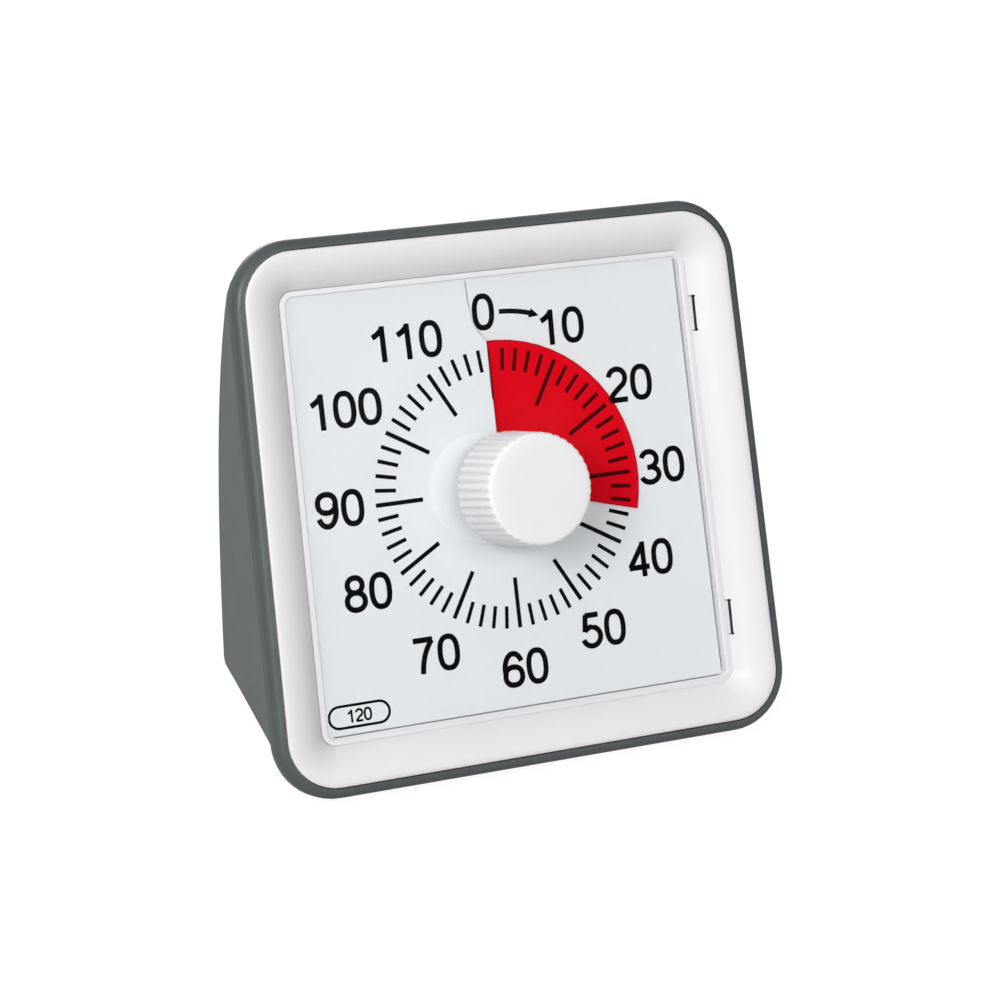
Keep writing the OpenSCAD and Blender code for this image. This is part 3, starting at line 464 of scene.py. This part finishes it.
# How far in from the skirt, how far below the tip, and how far the ribs show.
CAP_EDGE = ((0.0, 0.62, 1), (0.03, 0.48, 0.85), (0.12, 0.27, 0.45), (0.28, 0.1, 0.15), (0.5, 0.02, 0),
            (0.8, 0.0, 0))
CAP_DISH = ((0.6, 0.01), (0.25, 0.03))            # parts of the radius, and how far below the tip


def rib_profile(angle):
    """How deep a groove is at that angle: 0 on a rib's crest, 1 in the middle of a groove."""
    phase = (angle * KNOB_RIBS / (2 * pi)) % 1
    across = abs(phase - 0.5) * 2
    deep, edge = RIB_GROOVE
    return max(0.0, min(1.0, (edge - across) / (edge - deep)))


def ribbed_knob():
    """Knob with a ribbed skirt, a softly rounded cap, and a boss that reaches down to the film's hub."""
    low, high = span("setting_knob")
    base = high.x
    radius = base - KNOB_TAPER
    tip = high.z
    inside = radius - KNOB_WALL
    ceiling = tip - CAP_THICKNESS
    back = span("clear_window")[1].z
    # radius, height, and how far the ribs show
    rings = [(KNOB_BOSS, low.z, 0), (KNOB_BOSS, ceiling, 0), (inside - CEILING_CHAMFER, ceiling, 0),
             (inside, ceiling - CEILING_CHAMFER, 0), (inside, back + MOUTH_CHAMFER, 0),
             (inside + MOUTH_CHAMFER, back, 0), (base - FOOT_CHAMFER[0], back, 1),
             (base, back + FOOT_CHAMFER[1], 1)]
    rings += [(radius - inward, tip - down, ribs) for inward, down, ribs in CAP_EDGE]
    rings += [(radius * part, tip - down, 0) for part, down in CAP_DISH]
    # A grid of steps round the knob by rings, rolled up and joined where its ends meet.
    steps, rows = KNOB_RIBS * RIB_STEPS, len(rings) - 1
    bm = bmesh.new()
    bmesh.ops.create_grid(bm, x_segments=steps, y_segments=rows, size=0.5)
    for vertex in bm.verts:
        angle = 2 * pi * round((vertex.co.x + 0.5) * steps) / steps
        ring_radius, height, ribs = rings[round((vertex.co.y + 0.5) * rows)]
        reach = ring_radius - RIB_DEPTH * ribs * rib_profile(angle)
        vertex.co = Vector((reach * cos(angle), reach * sin(angle), height))
    bmesh.ops.remove_doubles(bm, verts=bm.verts[:], dist=MERGE_DISTANCE)
    bmesh.ops.holes_fill(bm, edges=bm.edges[:])
    bmesh.ops.recalc_face_normals(bm, faces=bm.faces[:])
    bmesh.ops.transform(bm, matrix=FACE, verts=bm.verts[:])
    knob = add_piece("ribbed_knob", bm, KNOB_WHITE, "knob", sharp=50)
    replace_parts(knob, "setting_knob")


ribbed_knob()


# ---- print on the dial card ----
TICK_OUTER = 24.9
TICK_MINOR = 0.841 * TICK_OUTER
TICK_MAJOR = 0.64 * TICK_OUTER
MINOR_WIDTH = 0.7
MAJOR_WIDTH = 0.78
TICK_STEP = 2                    # minutes between ticks
MAJOR_STEP = 10                  # minutes between long ticks, which have numerals
ZERO_TICK_X = -0.42
DIGIT_HEIGHT = 6.4
DIGIT_ADVANCE = 4.7
DIGIT_STROKE = 1.0
INK_RISE = 0.008                 # of the middle of a stroke over the card
INK_FLATNESS = 0.035             # a stroke's thickness as a part of its width
ARROW_PATH = ((2.65, 31.15), (6.1, 31.1), (9.1, 30.15))
ARROW_WIDTH = 0.88
ARROW_HEAD = ((8.5, 30.33), (8.52, 30.32), (10.25, 29.7))
ARROW_HEAD_WIDTH = 1.75
BADGE_BOX = (-37.9, -26.5, -37.6, -33.8)          # left, right, bottom and top
BADGE_LINE = 0.48
BADGE_DIGITS = (2.3, 1.6, 0.4)                    # height, advance and stroke
NUMERAL_AT = {0: (-0.4, 31.4), 10: (14.35, 27.4), 20: (26.6, 15.75), 30: (31.35, 0.3), 40: (27.05, -16.0),
              50: (16.15, -27.4), 60: (0.15, -32.1), 70: (-16.55, -27.25), 80: (-28.05, -14.75),
              90: (-31.55, 0.25), 100: (-28.6, 17.3), 110: (-15.9, 27.8)}


def card_surface():
    """The dial card on the face, as a tree that rays can be cast at."""
    bm = bmesh.new()
    bm.from_mesh(frame["nodes"]["dial_card"].data)
    bmesh.ops.transform(bm, matrix=TO_FACE, verts=bm.verts[:])
    tree = BVHTree.FromBMesh(bm)
    bm.free()
    return tree


RAY_START = 10                   # height on the face from which the card is looked for
CARD = card_surface()
CARD_MIDDLE = sum((corner.z for corner in span("dial_card")), 0.0) / 2


def card_height(x, y):
    """Height of the card's front surface at a point on the face."""
    hit = CARD.ray_cast(Vector((x, y, RAY_START)), Vector((0, 0, -1)))[0]
    return hit.z if hit else CARD_MIDDLE


def arc(centre, radii, start, end, steps=14):
    """Points on an ellipse, from one angle to another in degrees, counted from +x to +y."""
    turns = [radians(start + (end - start) * i / steps) for i in range(steps + 1)]
    return [(centre[0] + radii[0] * cos(a), centre[1] + radii[1] * sin(a)) for a in turns]


def bend(start, pull, end, steps=8):
    """Points on a quadratic curve."""
    parts = [i / steps for i in range(steps + 1)]
    return [tuple((1 - t) ** 2 * start[k] + 2 * t * (1 - t) * pull[k] + t * t * end[k] for k in (0, 1))
            for t in parts]


def oval(centre, radii, power=2.25, steps=40):
    """A closed oval, a little squarer than an ellipse."""
    points = []
    for i in range(steps):
        c, s = cos(2 * pi * i / steps), sin(2 * pi * i / steps)
        points.append((centre[0] + radii[0] * abs(c) ** (2 / power) * (1 if c > 0 else -1),
                       centre[1] + radii[1] * abs(s) ** (2 / power) * (1 if s > 0 else -1)))
    return points


# Each digit's strokes as (points, closed), in a box as high as the digit, with x from its middle.
SIX = [(oval((0.0, 0.31), (0.255, 0.25)), True), (arc((0.02, 0.5), (0.272, 0.435), 28, 205, 22), False)]
DIGITS = {
    "0": [(oval((0, 0.5), (0.256, 0.435), 2.45), True)],
    "1": [([(0.075, 0.0), (0.075, 0.985)], False),
          (bend((0.075, 0.92), (0.0, 0.79), (-0.225, 0.69)), False)],
    "2": [(arc((0, 0.69), (0.25, 0.245), 172, -28, 18) + bend((0.18, 0.50), (-0.23, 0.20), (-0.25, 0.06)),
           False), ([(-0.275, 0.065), (0.285, 0.065)], False)],
    "3": [(arc((-0.015, 0.71), (0.235, 0.22), 165, -90, 18), False),
          ([(-0.015, 0.49), (-0.09, 0.49)], False),
          (arc((-0.015, 0.28), (0.27, 0.215), 90, -165, 18), False)],
    "4": [([(0.145, 0.0), (0.145, 0.99)], False), ([(0.155, 0.93), (-0.285, 0.275)], False),
          ([(-0.315, 0.27), (0.315, 0.27)], False)],
    "5": [([(0.245, 0.93), (-0.165, 0.93)], False), ([(-0.145, 0.955), (-0.205, 0.475)], False),
          (bend((-0.205, 0.485), (-0.11, 0.60), (0.03, 0.60))
           + arc((-0.005, 0.33), (0.27, 0.265), 84, -165, 20), False)],
    "6": SIX,
    "7": [([(-0.295, 0.93), (0.285, 0.93)], False),
          (bend((0.265, 0.91), (-0.04, 0.55), (-0.075, 0.0), 12), False)],
    "8": [(oval((0, 0.735), (0.215, 0.205), 2.1), True), (oval((0, 0.295), (0.262, 0.235), 2.1), True)],
    "9": [([(-x, 1 - y) for x, y in points], closed) for points, closed in SIX],
}


class InkPad:
    """Gathers flat strokes on the dial, and prints them on the card as one piece."""

    def __init__(self, name):
        self.name = name
        self.curve = bpy.data.curves.new(name, "CURVE")
        self.curve.dimensions = "3D"
        self.curve.bevel_depth = 1.0
        self.curve.bevel_resolution = 2
        self.curve.use_fill_caps = True

    def stroke(self, points, width, closed=False, taper=None):
        spline = self.curve.splines.new("POLY")
        spline.points.add(len(points) - 1)
        spline.use_cyclic_u = closed
        for index, (target, point) in enumerate(zip(spline.points, points)):
            target.co = (point[0], point[1], 0, 1)
            target.radius = width / 2 * (taper[index] if taper else 1)

    def number(self, text, centre, height=DIGIT_HEIGHT, advance=DIGIT_ADVANCE, width=DIGIT_STROKE):
        left = centre[0] - advance * (len(text) - 1) / 2
        for index, digit in enumerate(text):
            for points, closed in DIGITS[digit]:
                self.stroke([(left + advance * index + x * height, centre[1] + (y - 0.5) * height)
                             for x, y in points], width, closed)

    def print_on_card(self):
        carrier = bpy.data.objects.new(self.name, self.curve)
        mesh = bpy.data.meshes.new_from_object(carrier)
        bpy.data.objects.remove(carrier)
        bpy.data.curves.remove(self.curve)
        bm = bmesh.new()
        bm.from_mesh(mesh)
        bpy.data.meshes.remove(mesh)
        for vertex in bm.verts:
            x, y, z = vertex.co
            vertex.co.z = card_height(x, y) + INK_RISE + z * INK_FLATNESS
        bmesh.ops.transform(bm, matrix=FACE, verts=bm.verts[:])
        add_piece(self.name, bm, INK, "case", sharp=60)


def print_ticks():
    pad = InkPad("tick_ring")
    for minutes in range(0, DIAL_MINUTES, TICK_STEP):
        inner, width = (TICK_MINOR, MINOR_WIDTH) if minutes % MAJOR_STEP else (TICK_MAJOR, MAJOR_WIDTH)
        shift = Vector((ZERO_TICK_X if minutes == 0 else 0, 0, 0))
        ends = [on_circle(radius, minutes) + shift for radius in (inner, TICK_OUTER)]
        pad.stroke([end.xy for end in ends], width)
    pad.print_on_card()


def print_numerals():
    pad = InkPad("dial_numerals")
    for minutes, centre in NUMERAL_AT.items():
        pad.number(str(minutes), centre)
    pad.print_on_card()


def print_arrow():
    """Curved arrow that shows which way the knob is turned."""
    pad = InkPad("turn_arrow")
    pad.stroke(bend(*ARROW_PATH, steps=10), ARROW_WIDTH)
    pad.stroke(ARROW_HEAD, ARROW_HEAD_WIDTH, taper=[0.0, 1.0, 0.02])
    pad.print_on_card()


def print_range_badge():
    """Rounded frame at the lower left with the dial's full range in it."""
    pad = InkPad("range_badge")
    left, right, bottom, top = BADGE_BOX
    radius = (top - bottom) / 2
    middle = (top + bottom) / 2
    outline = (arc((right - radius, middle), (radius, radius), -90, 90)
               + arc((left + radius, middle), (radius, radius), 90, 270))
    pad.stroke(outline, BADGE_LINE, closed=True)
    pad.number(str(DIAL_MINUTES), ((left + right) / 2, middle), *BADGE_DIGITS)
    pad.print_on_card()


print_ticks()
print_numerals()
print_arrow()
print_range_badge()


# ---- floor, lights and camera ----
CAMERA_AT = Vector((-238.06, 34.5, 536.35))        # on the face, in millimetres
CAMERA_AZIMUTH = -24.83
CAMERA_ELEVATION = 17.68
CAMERA_ROLL = 0.17
CAMERA_LENS = 120.44
SENSOR_WIDTH = 36
DARK_SIDE = Vector((0.85, -0.5, 0.05))            # the way to the darkest part of the surroundings
DARK_RANGE = (-0.3, 0.8)                          # cosines to it, from where it darkens to the darkest
AMBIENT_LEVELS = (0.7, 0.2)                       # what lights the object, on the bright and dark sides
MIRRORED_LEVELS = (0.45, 0.02)                    # what its gloss shows there
LIT_POINT = Vector((0, 0, 0.045))                 # the middle of the object, in metres
FLOOR_SIZE = 6.0                                  # in metres
FLOOR_COLOUR = (0.45, 0.45, 0.45)
FLOOR_ROUGHNESS = 0.9
FLOOR_GLOW = 1.25
FLOOR_GLOW_SHARE = 0.75                           # seen by the camera
FLOOR_MIRRORED_SHARE = 0.12                       # seen in the gloss


def seen_directly(tree):
    """The Light Path node, and 1 for rays that are mirrored or let through to the background."""
    path = add_node(tree, "ShaderNodeLightPath")
    shown = add_node(tree, "ShaderNodeMath", {0: path.outputs["Is Glossy Ray"],
                                              1: path.outputs["Is Transmission Ray"]},
                     operation="ADD", use_clamp=True)
    return path, shown.outputs[0]


def pale_floor():
    """Plain floor, which keeps a faint shadow and reads as white."""
    material = bpy.data.materials.new("pale_floor")
    material.use_nodes = True
    tree = material.node_tree
    shader = tree.nodes["Principled BSDF"]
    shader.inputs["Base Color"].default_value = (*FLOOR_COLOUR, 1)
    shader.inputs["Roughness"].default_value = FLOOR_ROUGHNESS
    glow = add_node(tree, "ShaderNodeEmission", {"Color": (1, 1, 1, 1), "Strength": FLOOR_GLOW})
    path, shown = seen_directly(tree)
    mirrored = add_node(tree, "ShaderNodeMath", {0: shown, 1: FLOOR_MIRRORED_SHARE}, operation="MULTIPLY")
    share = add_node(tree, "ShaderNodeMath",
                     {0: path.outputs["Is Camera Ray"], 1: FLOOR_GLOW_SHARE, 2: mirrored.outputs[0]},
                     operation="MULTIPLY_ADD", use_clamp=True)
    mix = add_node(tree, "ShaderNodeMixShader", {0: share.outputs[0], 1: shader.outputs["BSDF"],
                                                 2: glow.outputs["Emission"]})
    tree.links.new(mix.outputs["Shader"], tree.nodes["Material Output"].inputs["Surface"])
    bm = bmesh.new()
    bmesh.ops.create_grid(bm, x_segments=1, y_segments=1, size=FLOOR_SIZE / 2)
    mesh = bpy.data.meshes.new("floor")
    bm.to_mesh(mesh)
    bm.free()
    mesh.materials.append(material)
    floor = bpy.data.objects.new("floor", mesh)
    bpy.context.scene.collection.objects.link(floor)


def studio_world():
    """White to the camera; round the object it is graded, and darkest to the right of the front."""
    world = bpy.data.worlds.new("studio")
    bpy.context.scene.world = world
    world.use_nodes = True
    tree = world.node_tree
    ways = tree.nodes.new("ShaderNodeTexCoord").outputs["Generated"]
    cosine = add_node(tree, "ShaderNodeVectorMath", {0: ways, 1: DARK_SIDE.normalized()},
                      operation="DOT_PRODUCT").outputs["Value"]
    path, shown = seen_directly(tree)
    levels = []
    for bright, dark in (AMBIENT_LEVELS, MIRRORED_LEVELS):
        node = add_node(tree, "ShaderNodeMapRange",
                        {"Value": cosine, "From Min": DARK_RANGE[0], "From Max": DARK_RANGE[1],
                         "To Min": bright, "To Max": dark},
                        interpolation_type="SMOOTHSTEP")
        levels.append(node.outputs["Result"])
    level = add_node(tree, "ShaderNodeMix", {"Factor": shown, "A": levels[0], "B": levels[1]})
    ambient = tree.nodes["Background"]
    ambient.inputs["Color"].default_value = (1, 1, 1, 1)
    tree.links.new(level.outputs["Result"], ambient.inputs["Strength"])
    white = add_node(tree, "ShaderNodeBackground", {"Color": (1, 1, 1, 1), "Strength": 1.0})
    mix = add_node(tree, "ShaderNodeMixShader", {0: path.outputs["Is Camera Ray"],
                                                 1: ambient.outputs["Background"],
                                                 2: white.outputs["Background"]})
    tree.links.new(mix.outputs["Shader"], tree.nodes["World Output"].inputs["Surface"])


def soft_light(name, place, level, size):
    """A square soft box, aimed at the middle of the object. level is what it adds to a white card."""
    place = Vector(place)
    aim = LIT_POINT - place
    lamp = bpy.data.lights.new(name, "AREA")
    lamp.shape = "SQUARE"
    lamp.size = size
    lamp.energy = level * pi * pi * aim.length_squared
    light = bpy.data.objects.new(name, lamp)
    light.location = place
    light.rotation_euler = aim.to_track_quat("-Z", "Y").to_euler()
    bpy.context.scene.collection.objects.link(light)


pale_floor()
studio_world()
soft_light("key_light", place=(-1.0, -1.05, 0.75), level=0.5, size=0.6)
soft_light("front_fill", place=(0.2, -1.3, 0.55), level=0.24, size=0.5)
soft_light("back_fill", place=(0.35, 1.3, 0.3), level=0.15, size=0.6)

camera_data = bpy.data.cameras.new("camera")
camera_data.lens = CAMERA_LENS
camera_data.sensor_width = SENSOR_WIDTH
camera = bpy.data.objects.new("camera", camera_data)
camera.location = FACE @ CAMERA_AT
camera_turn = (Matrix.Rotation(radians(CAMERA_AZIMUTH), 3, "Z")
               @ Matrix.Rotation(radians(90 - CAMERA_ELEVATION), 3, "X")
               @ Matrix.Rotation(radians(CAMERA_ROLL), 3, "Z"))
camera.rotation_euler = camera_turn.to_euler()
bpy.context.scene.collection.objects.link(camera)
bpy.context.scene.camera = camera
bpy.context.scene.view_settings.view_transform = "Standard"
